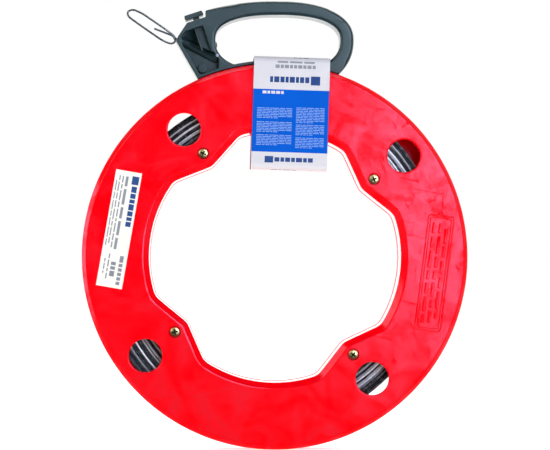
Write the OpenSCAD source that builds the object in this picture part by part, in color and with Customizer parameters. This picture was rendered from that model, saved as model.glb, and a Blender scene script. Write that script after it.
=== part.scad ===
// Fish tape reel: a flat round case full of steel tape that turns in a D-shaped handle.
// X is to the right, Z is up and the front faces -Y. The origin is the centre of the reel.

/* [Case] */
// Outer diameter of the round case
case_d = 305; // [300:1:310]
// Thickness of the closed case
case_w = 36; // [34:1:38]
// Diameter of the open centre
hole_d = 198; // [197:1:200]
// Wall thickness of the two shells
wall = 2.4; // [2:0.1:3]
// Width of the chamfer round the outer edge
edge_chamfer = 4; // [2:0.5:5]
// Width of the gap round the rim that the handle rides in
rim_gap = 11; // [10:0.5:12]
// Diameter of the round windows
window_d = 26; // [20:1:27]
// Height of the raised frame and bars on the front
emboss = 0.6; // [0.4:0.1:0.8]

/* [Tape] */
// Width of the flat steel tape
tape_w = 3; // [2.5:0.5:3.5]
// Thickness of the tape
tape_t = 1.5; // [1:0.1:1.6]
// Length of the wound tape, in metres
tape_length = 50; // [30:1:52]

/* [Handle] */
// Depth of the grip from front to back
grip_depth = 26; // [24:1:28]
// Wall thickness of the two handle halves
grip_wall = 2.4; // [2:0.1:2.6]
// Angle of the tape guide below horizontal
guide_angle = 27; // [26:0.5:28]
// Angle of the brake button from vertical
button_angle = 18.4; // [17.5:0.1:19]
// Travel of the brake button
button_travel = 2.4; // [1.5:0.1:2.4]

/* [Sleeve] */
// Width of the card sleeve
sleeve_w = 60; // [50:1:60]
// Height of the card sleeve
sleeve_h = 90; // [86:1:90]
// Thickness of the card
card_t = 0.5; // [0.4:0.1:0.6]

/* [Hidden] */
$fn = 96;

// Case: radii about the reel's axis, and heights in front of the parting plane
case_r = case_d / 2;
hole_r = hole_d / 2;
half_w = case_w / 2;
face_in = half_w - wall;
hub_r = hole_r + 4.5;
rail_in = 143.4;
rail_out = 145.9;
rail_gap = 6.5;
corner_angles = [38, 125, 217, 308.5];
corner_tip = 86.2;
corner_half_angle = 18.6;
corner_base = [hole_r * cos(corner_half_angle), hole_r * sin(corner_half_angle)];
corner_slope = (corner_base.x - corner_tip) / corner_base.y;
window_angles = [38, 125.7, 217.4, 308.5];
window_radii = [129, 123, 128.5, 123];
open_windows = [1, 3];
rear_window_d = window_d + 6;
screw_circle_r = 99;
panel_size = [21.5, 92.5];
panel_place = [125.8, -13.2];
panel_tilt = -7.3;
label_size = [20.6, 92.5];
label_place = [-123, 21.3];
label_tilt = -9.9;
label_t = 0.2;

// Case screws
screw_d = 4;
screw_head_d = 8;
screw_head_h = 2.2;
screw_tip = 14;

// Wound tape: its height follows from the length of steel it holds
coil_in = 108.5;
coil_out = 133.5;
coil_h = tape_length * 1000 * tape_w * tape_t / (PI * (coil_out ^ 2 - coil_in ^ 2));
anchor_angle = 262;
anchor_height = 9;

// Handle
half_grip = grip_depth / 2;
foot_in = 146.3;
foot_out = case_r - wall - 0.4;
foot_half = 12;
neck_half = rim_gap / 2 - 0.7;
seat_r = case_r + 0.5;
strip_r = seat_r + 2.4;
foot_start = 72;
foot_sweep = 40;
grip_centre = [3.1, 171.7];
opening_centre = [2.3, 171.7];
crown_centre = [-3, 21.3];
crown_r = 181;
web_t = 2.2;
stem_half = 2.5;
stem_depth = 5;
stem_gap = 0.3;
guide_mouth = [-77.4, 172.7];
guide_half = 3.35;
guide_top = 6.3;
guide_end = 35;
passage_half = tape_t / 2 + 0.4;
button_seat = [-61.8, 187.4];
pad_rest = 2.75;
pad_top = 5.1;
guide_pin_at = [34.5, 2.2];
guide_pin_r = 1.2;
brake_pin_at = -3.8;
brake_pin_r = 1;
handle_screw_at = [[-40, 191.6], [57.2, 171]];
nose_screw_at = [-57.3, 149.3];
nose_boss = 7;
handle_screw_d = 3;
handle_screw_head_d = 5.6;

// Brake spring, in the button's frame, behind the stem
spring_y = 8.4;
spring_top = -10;
spring_seat = -19.8;
spring_r = 2.15;
spring_wire = 0.7;
spring_turns = 6;

// Tape that has been drawn out: it ends in a long eye bent from the tape itself
lead_in = 84;
eye_route = [[0, 0], [-1.5, 1], [-4.5, 4.3], [-14.5, 11.5], [-22.2, 16.7], [-27.2, 20.1], [-32.3, 22.6],
    [-34.6, 23.3], [-36.9, 23.2], [-38.9, 22], [-39.5, 20.1], [-38.6, 18.1], [-36.6, 16.2],
    [-28.7, 10.5], [-19.6, 4.1], [-12.1, -0.9], [-7, -3.2], [-4.6, -3.6], [-2.6, -2.8]];
tail_route = [[-2.6, -2.8], [-1.8, -1.1], [-3.2, 1.9], [-5.8, 3.4], [-9.5, 4.9], [-18.3, 8.2]];

// Card sleeve
sleeve_depth = 40;
sleeve_place = [12, 112.6];
sleeve_tilt = 1.8;
sleeve_fold_r = 5;

// --- Helpers ---

// Gives an outline drawn in X and Z its depth, from "back" to "front", the front being -Y
module plate(back, front)
    rotate([90, 0, 0]) translate([0, 0, back]) linear_extrude(front - back) children();

// Turns a profile drawn as radius and height about the reel's axis
module turned(start = 0, sweep = 360)
    rotate([90, 0, 0]) rotate([0, 0, start]) rotate_extrude(angle = sweep) children();

// Places an outline in the frame of the tape guide, X running into the case
module on_guide() translate(guide_mouth) rotate(-guide_angle) children();

// Places an outline in the frame of the brake button, Y pointing out of the handle
module on_button() translate(button_seat) rotate(button_angle) children();

// Places a solid in the frame of the brake button, Z pointing out of the handle
module at_button() translate([button_seat.x, 0, button_seat.y]) rotate([0, -button_angle, 0]) children();

// Places a solid in the frame of the tape guide, X running into the case
module at_guide() translate([guide_mouth.x, 0, guide_mouth.y]) rotate([0, guide_angle, 0]) children();

// Box from its lowest to its highest corner
module block(low, high) translate(low) cube(high - low);

module rounded_rect(size, r) {
    square([size.x - 2 * r, size.y], center = true);
    square([size.x, size.y - 2 * r], center = true);
    for (x = [-1, 1], y = [-1, 1])
        translate([x * (size.x / 2 - r), y * (size.y / 2 - r)]) circle(r);
}

module rounded_ring(size, r, t) difference() {
    rounded_rect(size, r);
    rounded_rect(size - [2 * t, 2 * t], r - t);
}

// A curve between an ellipse and a rectangle, with its own height above and below its centre
function full_oval(centre, half, up, down, power, steps = 96) = [
    for (i = [0:steps - 1]) let (a = 360 * i / steps, c = cos(a), s = sin(a))
        centre + [half * sign(c) * pow(abs(c), 2 / power),
            (s > 0 ? up : down) * sign(s) * pow(abs(s), 2 / power)]];

// --- Case ---

// One of the four points that reach into the open centre, kept "inset" inside its walls
module corner_point(inset, limit_r) intersection() {
    circle(limit_r);
    let (tip = corner_tip + inset / cos(atan(corner_slope)), far = limit_r - tip)
        polygon([[tip, 0], [tip + far, far / corner_slope], [tip + far, -far / corner_slope]]);
}

module shell_profile() polygon([[hole_r, 0], [hub_r, 0], [hub_r, face_in], [rail_in, face_in],
    [rail_in, rail_gap], [rail_out, rail_gap], [rail_out, face_in], [case_r - wall, face_in],
    [case_r - wall, rim_gap / 2], [case_r, rim_gap / 2], [case_r, half_w - edge_chamfer],
    [case_r - edge_chamfer, half_w], [hole_r, half_w]]);

// A shell with its points, hollow behind, and a boss for each screw
module shell() {
    difference() {
        union() {
            turned() shell_profile();
            plate(0, half_w) for (a = corner_angles) rotate(a) corner_point(0, hole_r + 2);
        }
        plate(-1, face_in) for (a = corner_angles) rotate(a) corner_point(wall, hole_r + 1);
    }
    plate(0, face_in + 0.1) at_screws() circle(4.5);
}

module at_screws() for (a = corner_angles) rotate(a) translate([screw_circle_r, 0]) children();

module windows(which, diameter) for (i = which)
    rotate(window_angles[i]) translate([window_radii[i], 0]) circle(d = diameter);

module raised_panel() translate(panel_place) rotate(panel_tilt) {
    rounded_ring(panel_size, 3, 1);
    rounded_ring(panel_size - [4, 4], 2, 0.7);
    for (x = [-1, 0, 1], y = [-1, 1]) translate([4.2 * x, 20.5 * y]) square([1.6, 36 - 6 * abs(x)], center = true);
}

module case_front() color("crimson") {
    difference() {
        shell();
        plate(face_in - 1, half_w + 1) windows([0:3], window_d);
        plate(-1, half_w + 1) at_screws() circle(d = screw_d + 0.4);
        plate(half_w - screw_head_h - 0.6, half_w + 1) at_screws() circle(d = screw_head_d + 0.6);
        turned_anchor_hole();
    }
    plate(half_w - 0.2, half_w + emboss) raised_panel();
}

module case_rear() color("firebrick") difference() {
    mirror([0, 1, 0]) shell();
    plate(-half_w - 1, -face_in + 1) windows(open_windows, rear_window_d);
    plate(-screw_tip - 1, 1) at_screws() circle(d = screw_d + 0.1);
}

// Pan head with a cross recess; the head's top is at Z = 0 and the point is below
module cross_screw(d, head_d, head_h, length) difference() {
    union() {
        rotate_extrude() intersection() {
            translate([0, -1.6 * head_d + head_h * 0.18]) circle(1.6 * head_d);
            translate([0, -head_h]) square([head_d / 2, head_h * 2]);
        }
        translate([0, 0, -length + d / 2]) cylinder(d = d, h = length - d / 2 - head_h / 2);
        translate([0, 0, -length]) cylinder(d1 = d / 4, d2 = d, h = d / 2);
    }
    for (a = [0, 90]) rotate(a) block([-head_d * 0.28, -head_d * 0.06, -head_h * 0.75],
        [head_d * 0.28, head_d * 0.06, head_h]);
}

module case_screws() color("goldenrod") for (a = corner_angles)
    rotate([0, -a, 0]) translate([screw_circle_r, -half_w + 0.6, 0]) rotate([90, 0, 0])
        cross_screw(screw_d, screw_head_d, screw_head_h, half_w + screw_tip - 0.6);

// --- Wound tape and its anchor ---

module tape_coil() color("lightslategray")
    turned() translate([coil_in, -coil_h / 2]) square([coil_out - coil_in, coil_h]);

module at_anchor() rotate([0, -anchor_angle, 0]) translate([0, -anchor_height, 0]) children();

module turned_anchor_hole() at_anchor() rotate([0, 90, 0]) cylinder(r = 1.1, h = hub_r + 1);

module anchor_clip() color("silver") difference() {
    turned(anchor_angle - 4, 8) translate([hub_r, anchor_height - 3]) square([0.8, 6]);
    at_anchor() rotate([0, 90, 0]) cylinder(r = 1.1, h = case_r);
}

module anchor_screw() color("silver") at_anchor() {
    translate([hub_r - 4, 0, 0]) rotate([0, 90, 0]) cylinder(r = 1, h = 5.4);
    translate([hub_r + 0.9, 0, 0]) rotate([0, 90, 0]) cylinder(r = 2.2, h = 1.3);
}

module side_label() color("white")
    plate(half_w, half_w + label_t) translate(label_place) rotate(label_tilt) rounded_rect(label_size, 1);

// --- Handle ---

// Finger opening, widened by "grow" and stopped at the strip that follows the rim
module opening(grow, floor_r) difference() {
    polygon(full_oval(opening_centre, 49.4 + grow, 19.6 + grow, 25 + grow, 2.4));
    circle(floor_r);
}

module grip_oval(inset) polygon(full_oval(grip_centre, 59.5 - inset, 30.6 - inset, 41 - inset, 2.25));

module nose_block() intersection() {
    polygon([[-54.9, 189.7], [-69.7, 184.8], [-76.6, 174.4], [-78.4, 170.4], [-60.7, 139.4], [0, 139.4],
        [0, 205], [-55.4, 205]]);
    translate(crown_centre) circle(crown_r);
}

module handle_outline() difference() {
    union() {
        grip_oval(0);
        nose_block();
    }
    opening(0, strip_r);
    circle(seat_r);
}

// Solid land between the brake channel and the finger opening
module land() intersection() {
    on_button() translate([stem_half + stem_gap, -40]) square([60, 60]);
    on_guide() translate([0, guide_half - 0.1]) square([60, 60]);
}

// Open pocket in the face of the nose
module nose_pocket() difference() {
    polygon([[-71.1, 178], [-74, 173.6], [-73.2, 167.2], [-59.3, 143], [-44.6, 143], [-44.6, 187], [-49.5, 185.2],
        [-59.9, 181.7]]);
    land();
    opening(3, strip_r);
    circle(strip_r);
    on_guide() translate(guide_pin_at) circle(2.6);
}

// Space inside the hollow grip
module grip_hollow() difference() {
    grip_oval(grip_wall);
    opening(grip_wall, 0);
    circle(strip_r + 1);
    translate([-140, 100]) square([100, 110]);
    for (p = handle_screw_at) translate(p) circle(3.5);
}

// Slot for the stem, from the notch down to the top of the guide
module stem_slot() intersection() {
    on_button() translate([-stem_half - stem_gap, -40]) square([2 * (stem_half + stem_gap), 41]);
    on_guide() translate([0, guide_half - 0.1]) square([60, 60]);
}

// Way in for the pad through the wall of the guide
module pad_slot() intersection() {
    on_button() translate([-stem_half - stem_gap, -40]) square([2 * (stem_half + stem_gap), 41]);
    on_guide() square([60, guide_half]);
}

module channel_rib() intersection() {
    on_button() translate([-stem_half - stem_gap - 1.6, -32]) square([1.6, 27]);
    on_guide() square([60, 60]);
}

module foot_profile() polygon([[foot_in, 0], [seat_r + 0.6, 0], [seat_r + 0.6, neck_half],
    [foot_out, neck_half], [foot_out, foot_half], [foot_in, foot_half]]);

// One moulded half of the handle, in front of the parting plane
module handle_half(rib_top) difference() {
    union() {
        difference() {
            plate(0, half_grip) handle_outline();
            plate(web_t, half_grip + 1) nose_pocket();
            plate(-1, half_grip - grip_wall) grip_hollow();
        }
        plate(0, nose_boss) translate(nose_screw_at) circle(3.5);
        plate(0, guide_top - guide_half) on_guide() translate([1, -guide_half]) square([guide_end, 2 * guide_half]);
        intersection() {
            at_guide() translate([1, -guide_top + guide_half, 0]) rotate([0, 90, 0])
                cylinder(r = guide_half, h = guide_end);
            block([-90, -half_grip, 100], [0, 0, 200]);
        }
        plate(0, rib_top) channel_rib();
        turned(foot_start, foot_sweep) foot_profile();
    }
    plate(-1, tape_w / 2 + 0.5) on_guide() translate([-3, -passage_half]) square([110, 2 * passage_half]);
    plate(-1, stem_depth + stem_gap) stem_slot();
    plate(-1, 3.1) pad_slot();
    plate(-1, 8.1) on_button() translate([0, brake_pin_at]) circle(brake_pin_r + 0.05);
    plate(-1, half_grip - 0.4) on_guide() translate(guide_pin_at) circle(guide_pin_r + 0.05);
}

module handle_front() color("darkslategray") difference() {
    handle_half(7);
    plate(-1, 10) for (p = handle_screw_at) translate(p) circle(d = handle_screw_d + 0.1);
    plate(-1, 6) translate(nose_screw_at) circle(d = handle_screw_d + 0.1);
    plate(half_grip - 1, half_grip + 1) on_guide() translate(guide_pin_at) circle(guide_pin_r + 0.05);
}

module handle_rear() color("darkslategray") difference() {
    union() {
        mirror([0, 1, 0]) handle_half(half_grip - 0.4);
        plate(-half_grip + 0.4, -stem_depth - stem_gap) on_button()
            translate([-stem_half - 1, spring_seat - 1.8]) square([2 * stem_half + 2, 1.8]);
    }
    plate(-half_grip - 1, 1) for (p = concat(handle_screw_at, [nose_screw_at])) translate(p)
        circle(d = handle_screw_d + 0.4);
    plate(-half_grip - 1, -half_grip + 2.4) for (p = handle_screw_at) translate(p)
        circle(d = handle_screw_head_d + 0.6);
}

module handle_screw(place, head_top, length) translate([place.x, head_top, place.y]) rotate([-90, 0, 0])
    cross_screw(handle_screw_d, handle_screw_head_d, 1.8, length);

// Two screws through the grip and a shorter one in the thinner nose
module handle_screws() color("dimgray") {
    for (p = handle_screw_at) handle_screw(p, half_grip - 0.5, 21);
    handle_screw(nose_screw_at, nose_boss + 1.9, 13.5);
}

module guide_pin() color("silver")
    plate(-half_grip + 1, half_grip - 0.1) on_guide() translate(guide_pin_at) circle(guide_pin_r);

// --- Brake ---

module brake_button() color("darkslategray") difference() {
    union() {
        at_button() block([-8.7, -8, button_travel + 0.1], [6.4, 8, button_travel + 3.9]);
        difference() {
            at_button() block([-stem_half, -stem_depth, -30], [stem_half, stem_depth, button_travel + 1]);
            at_guide() block([-10, -10, -30], [60, 10, pad_top]);
        }
        at_button() block([-2.2, stem_depth - 1, spring_top], [2.2, spring_y + 2.4, spring_top + 2.8]);
    }
    plate(-stem_depth - 1, stem_depth + 1) on_button() {
        for (z = [brake_pin_at, brake_pin_at + button_travel]) translate([0, z]) circle(brake_pin_r + 0.2);
        translate([-brake_pin_r - 0.2, brake_pin_at]) square([2 * brake_pin_r + 0.4, button_travel]);
    }
}

module brake_pad() color("black") intersection() {
    at_button() block([-stem_half, -2.6, -40], [stem_half, 2.6, 0]);
    at_guide() block([-10, -10, pad_rest], [60, 10, pad_top]);
}

module brake_pin() color("silver")
    plate(-8, 8) on_button() translate([0, brake_pin_at]) circle(brake_pin_r);

// Round wire wound along Z, as rings of points joined into one closed surface
module wound_wire(r, wire, height, turns, steps = 16, sides = 6) {
    rings = turns * steps;
    function ring(i) = let (a = 360 * i / steps, z = wire / 2 + (height - wire) * i / rings)
        [for (j = [0:sides - 1]) let (b = 360 * j / sides, q = r + wire / 2 * cos(b))
            [q * cos(a), q * sin(a), z + wire / 2 * sin(b)]];
    points = [for (i = [0:rings]) each ring(i)];
    walls = [for (i = [0:rings - 1], j = [0:sides - 1]) let (k = (j + 1) % sides)
        [i * sides + j, i * sides + k, (i + 1) * sides + k, (i + 1) * sides + j]];
    ends = [[for (j = [sides - 1:-1:0]) j], [for (j = [0:sides - 1]) rings * sides + j]];
    polyhedron(points, concat(walls, ends));
}

module brake_spring() color("silver") at_button() translate([0, spring_y, spring_seat])
    wound_wire(spring_r, spring_wire, spring_top - spring_seat, spring_turns);

// --- Card sleeve ---

module card_sleeve() color("royalblue")
    translate([sleeve_place.x, 0, sleeve_place.y]) rotate([0, sleeve_tilt, 0])
        rotate([90, 0, 90]) linear_extrude(sleeve_w, center = true)
            rounded_ring([sleeve_depth, sleeve_h], sleeve_fold_r, card_t);

// --- Drawn-out tape ---

// Edge of a bent strip, "shift" to one side of its route
function strip_edge(route, shift) = let (last = len(route) - 1) [
    for (i = [0:last]) let (d = route[min(i + 1, last)] - route[max(i - 1, 0)])
        route[i] + shift / norm(d) * [-d.y, d.x]];

module bent_strip(route) let (right = strip_edge(route, -tape_t / 2))
    polygon(concat(strip_edge(route, tape_t / 2), [for (i = [len(right) - 1:-1:0]) right[i]]));

module tape_lead() color("slategray") {
    at_guide() block([0, -tape_w / 2, -tape_t / 2], [lead_in, tape_w / 2, tape_t / 2]);
    plate(-tape_w / 2, tape_w / 2) translate(guide_mouth) {
        bent_strip(eye_route);
        bent_strip(tail_route);
    }
}

case_front();
case_rear();
case_screws();
tape_coil();
anchor_clip();
anchor_screw();
side_label();
handle_front();
handle_rear();
handle_screws();
guide_pin();
brake_button();
brake_pad();
brake_spring();
brake_pin();
card_sleeve();
tape_lead();
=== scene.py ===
# Fish tape reel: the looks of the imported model.
# Lengths are in millimetres until a mesh is made. X is to the right, Z is up and the front faces -Y.
import math

import bmesh
import bpy
import numpy as np
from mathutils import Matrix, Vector, noise
from mathutils.geometry import tessellate_polygon


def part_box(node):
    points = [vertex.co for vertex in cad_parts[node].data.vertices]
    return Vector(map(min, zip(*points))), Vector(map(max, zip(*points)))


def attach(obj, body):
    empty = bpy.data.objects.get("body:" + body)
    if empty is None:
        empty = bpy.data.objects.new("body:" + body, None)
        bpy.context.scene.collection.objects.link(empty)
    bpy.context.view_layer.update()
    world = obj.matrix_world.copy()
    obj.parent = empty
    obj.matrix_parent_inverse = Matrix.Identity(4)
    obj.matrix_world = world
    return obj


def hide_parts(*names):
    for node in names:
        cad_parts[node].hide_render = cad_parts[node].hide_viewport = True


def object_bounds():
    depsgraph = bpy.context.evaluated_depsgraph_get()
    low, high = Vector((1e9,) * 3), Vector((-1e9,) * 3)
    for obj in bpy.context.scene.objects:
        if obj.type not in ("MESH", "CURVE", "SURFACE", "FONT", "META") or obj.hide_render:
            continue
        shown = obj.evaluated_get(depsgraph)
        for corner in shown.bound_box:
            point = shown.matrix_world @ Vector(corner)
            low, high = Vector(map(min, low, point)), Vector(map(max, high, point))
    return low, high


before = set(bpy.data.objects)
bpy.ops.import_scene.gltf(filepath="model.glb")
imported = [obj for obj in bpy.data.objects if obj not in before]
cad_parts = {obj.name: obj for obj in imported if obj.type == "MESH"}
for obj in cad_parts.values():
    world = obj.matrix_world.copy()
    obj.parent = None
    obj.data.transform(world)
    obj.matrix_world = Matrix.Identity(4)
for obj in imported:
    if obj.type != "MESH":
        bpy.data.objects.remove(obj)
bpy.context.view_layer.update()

# Case, from the frame and from the walls of its mouldings
CASE_R = 1000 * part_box("case_rear")[1].x
HALF_W = 1000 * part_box("case_rear")[1].y
WALL = 2.4
FACE_IN = HALF_W - WALL
HOLE_R = 99
HUB_R = 103.5
RIM_GAP = 11
CORNER_ANGLES = (38, 125, 217, 308.5)
CORNER_TIP = 86.2
CORNER_HALF = 18.6
WINDOWS = ((129, 38), (123, 125.7), (128.5, 217.4), (123, 308.5))
OPEN_WINDOWS = (1, 3)
WINDOW_R, REAR_WINDOW_R = 13, 16
SCREW_CIRCLE_R = 99
SCREW_POCKET_R = 4.6
# The screws are painted near black less than this many metres in front of the parting plane: painted shade in
# their recesses.
RECESS_SHADE_FROM = 0.0167
RING_STEPS = 720

# Tape, from the coil's solid
COIL_IN = 108.5
COIL_OUT = 1000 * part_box("tape_coil")[1].x
COIL_HALF_H = 1000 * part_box("tape_coil")[1].y
TAPE_W = 3
TAPE_T = 1.5

# Handle, from its own box and the angles of its guide and its button
HALF_GRIP = 1000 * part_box("handle_rear")[1].y
SEAT_R = CASE_R + 0.5
STRIP_R = SEAT_R + 2.4
GUIDE_MOUTH = (-77.4, 172.7)
GUIDE_ANGLE = -27
BUTTON_SEAT = (-61.8, 187.4)
BUTTON_ANGLE = 18.4
BUTTON_TRAVEL = 2.4


# --- Outlines: lists of (x, z) in millimetres ---

def turn(points, degrees, centre=(0, 0)):
    """Points turned about the origin, then moved to a centre."""
    c, s = math.cos(math.radians(degrees)), math.sin(math.radians(degrees))
    return [(centre[0] + c * p[0] - s * p[1], centre[1] + s * p[0] + c * p[1]) for p in points]


def on_circle(radius, degrees, centre=(0, 0)):
    """A point of a circle."""
    a = math.radians(degrees)
    return (centre[0] + radius * math.cos(a), centre[1] + radius * math.sin(a))


def share_of(value, whole):
    """A value as a share of a whole, from 0 to 1."""
    return min(1.0, max(0.0, value / whole))


def on_guide(points):
    """Points in the frame of the tape guide, x running into the case."""
    return turn(points, GUIDE_ANGLE, GUIDE_MOUTH)


def on_button(points):
    """Points in the frame of the brake button, z pointing out of the handle."""
    return turn(points, BUTTON_ANGLE, BUTTON_SEAT)


def rounded(corners, steps=5):
    """A closed outline from (x, z, radius) corners, with an arc at each corner that has a radius."""
    line = []
    for i, (x, z, radius) in enumerate(corners):
        here = Vector((x, z))
        before = Vector(corners[i - 1][:2]) - here
        after = Vector(corners[(i + 1) % len(corners)][:2]) - here
        if radius <= 0:
            line.append((x, z))
            continue
        half = before.angle(after) / 2
        reach = min(radius / math.tan(half), 0.49 * before.length, 0.49 * after.length)
        radius = reach * math.tan(half)
        centre = here + (before.normalized() + after.normalized()).normalized() * radius / math.sin(half)
        start = here + before.normalized() * reach - centre
        sweep = start.angle_signed(here + after.normalized() * reach - centre)
        first = math.atan2(start.y, start.x)
        for k in range(steps + 1):
            a = first - sweep * k / steps
            line.append((centre.x + radius * math.cos(a), centre.y + radius * math.sin(a)))
    return line


def sharp(points):
    """Points as corners without a radius."""
    return [(x, z, 0) for x, z in points]


def box_outline(low, high, radius=0.0):
    """A rectangle between two corners, its own corners rounded."""
    return rounded([(low[0], low[1], radius), (high[0], low[1], radius),
                    (high[0], high[1], radius), (low[0], high[1], radius)])


def round_outline(radius, steps=32):
    """A circle about the origin."""
    return [(radius * math.cos(2 * math.pi * i / steps), radius * math.sin(2 * math.pi * i / steps))
            for i in range(steps)]


def oval_point(centre, half, up, down, power, degrees):
    """A point of a curve between an ellipse and a rectangle."""
    c, s = math.cos(math.radians(degrees)), math.sin(math.radians(degrees))
    return (centre[0] + half * math.copysign(abs(c) ** (2 / power), c),
            centre[1] + (up if s > 0 else down) * math.copysign(abs(s) ** (2 / power), s))


def inset(line, distances):
    """A closed outline with each point moved to its left, which is inwards where it runs anticlockwise."""
    moved = []
    for i, (here, distance) in enumerate(zip(line, distances)):
        here = Vector(here)
        d1 = (here - Vector(line[i - 1])).normalized()
        d2 = (Vector(line[(i + 1) % len(line)]) - here).normalized()
        normal = Vector((-d1.y - d2.y, d1.x + d2.x)).normalized()
        stretch = max(0.35, normal.dot(Vector((-d1.y, d1.x))))
        moved.append(tuple(here + normal * distance / stretch))
    return moved


def anticlockwise(line, wanted=True):
    """The same outline run anticlockwise, or clockwise where that is wanted."""
    area = sum(line[i - 1][0] * line[i][1] - line[i][0] * line[i - 1][1] for i in range(len(line)))
    return list(line) if (area > 0) == wanted else list(reversed(line))


# --- Meshes ---

class Shape:
    """Points in millimetres and faces, gathered before they become a mesh."""

    def __init__(self):
        self.points, self.faces, self.marks = [], [], {}

    def rings(self, rings, closed=True, caps=False):
        """Joins rings of equal length by strips of faces; closed also joins the last ring to the first."""
        base, size = len(self.points), len(rings[0])
        for ring in rings:
            self.points.extend(tuple(p) for p in ring)
        for i in range(len(rings) if closed else len(rings) - 1):
            a, b = base + i * size, base + (i + 1) % len(rings) * size
            for j in range(size):
                k = (j + 1) % size
                self.faces.append((a + j, a + k, b + k, b + j))
        if caps:
            self.faces.append(tuple(base + j for j in reversed(range(size))))
            self.faces.append(tuple(base + (len(rings) - 1) * size + j for j in range(size)))
        return self

    def lathe(self, profile, place, steps=40, side=1):
        """A round solid along Y, from pairs of a radius and a distance from the parting plane."""
        return self.rings([[(x, -side * f, z) for x, z in turn(round_outline(radius, steps), 0, place)]
                           for radius, f in profile], closed=False, caps=True)

    def plate(self, outline, low, high, edge_low=0.0, edge_high=0.0, holes=(), steps=4, hole_edge=None):
        """An outline with holes given depth from low to high in front of the parting plane.
        Its edges are rounded by a radius, or by a function of the place that gives one;
        a negative radius flares the edge instead, and carries it on past the face."""
        loops = [(anticlockwise(outline), edge_high)]
        loops += [(anticlockwise(h, False), edge_high if hole_edge is None else hole_edge) for h in holes]
        fills = {}
        for loop, high_edge in loops:
            rings = []
            for side, out, edge in ((low, -1, edge_low), (high, 1, high_edge)):
                radii = [edge(x, z) if callable(edge) else edge for x, z in loop]
                turned = []
                for k in range(steps + 1 if any(radii) else 1):
                    a = math.pi / 2 * k / steps
                    line = inset(loop, [r * (1 - math.sin(a)) for r in radii])
                    turned.append([(x, -side + out * abs(r) * (1 - math.cos(a)), z)
                                   for (x, z), r in zip(line, radii)])
                if min(radii) < 0:
                    turned.insert(0, [(x, y - out, z) for x, y, z in turned[0]])
                rings.extend(turned if out < 0 else reversed(turned))
            base = len(self.points)
            self.rings(rings, closed=False)
            for which, start in (("low", base), ("high", base + (len(rings) - 1) * len(loop))):
                fills.setdefault(which, []).append((start, len(loop)))
        for which, parts in fills.items():
            index = [start + i for start, size in parts for i in range(size)]
            flat = [[Vector((self.points[start + i][0], self.points[start + i][2], 0)) for i in range(size)]
                    for start, size in parts]
            for tri in tessellate_polygon(flat):
                a, b, c = (Vector((self.points[index[t]][0], self.points[index[t]][2])) for t in tri)
                up = (b - a).cross(c - a) > 0
                tri = tri if up == (which == "high") else reversed(tri)
                self.faces.append(tuple(index[t] for t in tri))
        return self

    def sheet(self, place, across, along, thick, mark_at, wraps=False):
        """A thin sheet over a grid of cuts. place gives a point and an outward normal, mark_at a material.
        wraps closes the sheet on itself along its length."""
        base, wide = len(self.points), len(across)
        for out in (thick / 2, -thick / 2):
            for v in along:
                for u in across:
                    point, normal = place(u, v)
                    self.points.append(tuple(c + out * n for c, n in zip(point, normal)))
        rows = len(along)
        back = base + rows * wide
        for i in range(rows if wraps else rows - 1):
            a, b = i * wide, (i + 1) % rows * wide
            v = (along[i] + (along[i + 1] if i + 1 < rows else along[0] + wraps)) / 2
            for j in range(wide - 1):
                u = (across[j] + across[j + 1]) / 2
                self.marks[len(self.faces)] = mark_at(u, v)
                self.faces.append((base + a + j, base + a + j + 1, base + b + j + 1, base + b + j))
                self.faces.append((back + a + j, back + b + j, back + b + j + 1, back + a + j + 1))
            for j in (0, wide - 1):
                self.faces.append((base + a + j, base + b + j, back + b + j, back + a + j))
        for i in () if wraps else (0, (rows - 1) * wide):
            for j in range(wide - 1):
                self.faces.append((base + i + j, back + i + j, back + i + j + 1, base + i + j + 1))
        return self

    def mesh(self, name):
        """The shape as a mesh in metres, its faces turned outwards."""
        made = bpy.data.meshes.new(name)
        made.from_pydata([[c / 1000 for c in p] for p in self.points], [], self.faces)
        for face, mark in self.marks.items():
            made.polygons[face].material_index = mark
        tidy = bmesh.new()
        tidy.from_mesh(made)
        bmesh.ops.remove_doubles(tidy, verts=tidy.verts, dist=1e-7)
        bmesh.ops.recalc_face_normals(tidy, faces=tidy.faces)
        tidy.to_mesh(made)
        tidy.free()
        return made


def new_object(name, data):
    """An object in the scene, made from a Shape or from Blender's own data."""
    made = bpy.data.objects.new(name, data.mesh(name) if isinstance(data, Shape) else data)
    bpy.context.scene.collection.objects.link(made)
    return made


def combine(target, shape, operation):
    """Cuts a shape out of an object or joins it on, and keeps the result."""
    other = new_object("tool", shape)
    step = target.modifiers.new("combine", "BOOLEAN")
    step.operation, step.solver, step.object = operation, "EXACT", other
    result = bpy.data.meshes.new_from_object(target.evaluated_get(bpy.context.evaluated_depsgraph_get()))
    target.modifiers.clear()
    target.data = result
    bpy.data.objects.remove(other)


def join_on(target, shape):
    """Adds a closed shape to an object's mesh as it is."""
    joined = bmesh.new()
    for mesh in (target.data, shape.mesh("tool")):
        joined.from_mesh(mesh)
    joined.to_mesh(target.data)
    joined.free()


def finish_piece(target, body, finishes, stands_for, crease=32, flat_faces=False):
    """Smooth shading with creases, materials, and the piece's place in the frame."""
    target.data.shade_smooth()
    target.data.set_sharp_from_angle(angle=math.radians(crease))
    if flat_faces:
        target.modifiers.new("even_normals", "WEIGHTED_NORMAL").keep_sharp = True
    for finish in finishes:
        target.data.materials.append(finish)
    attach(target, body)
    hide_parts(*stands_for)
    return target


# --- Materials ---

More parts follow.
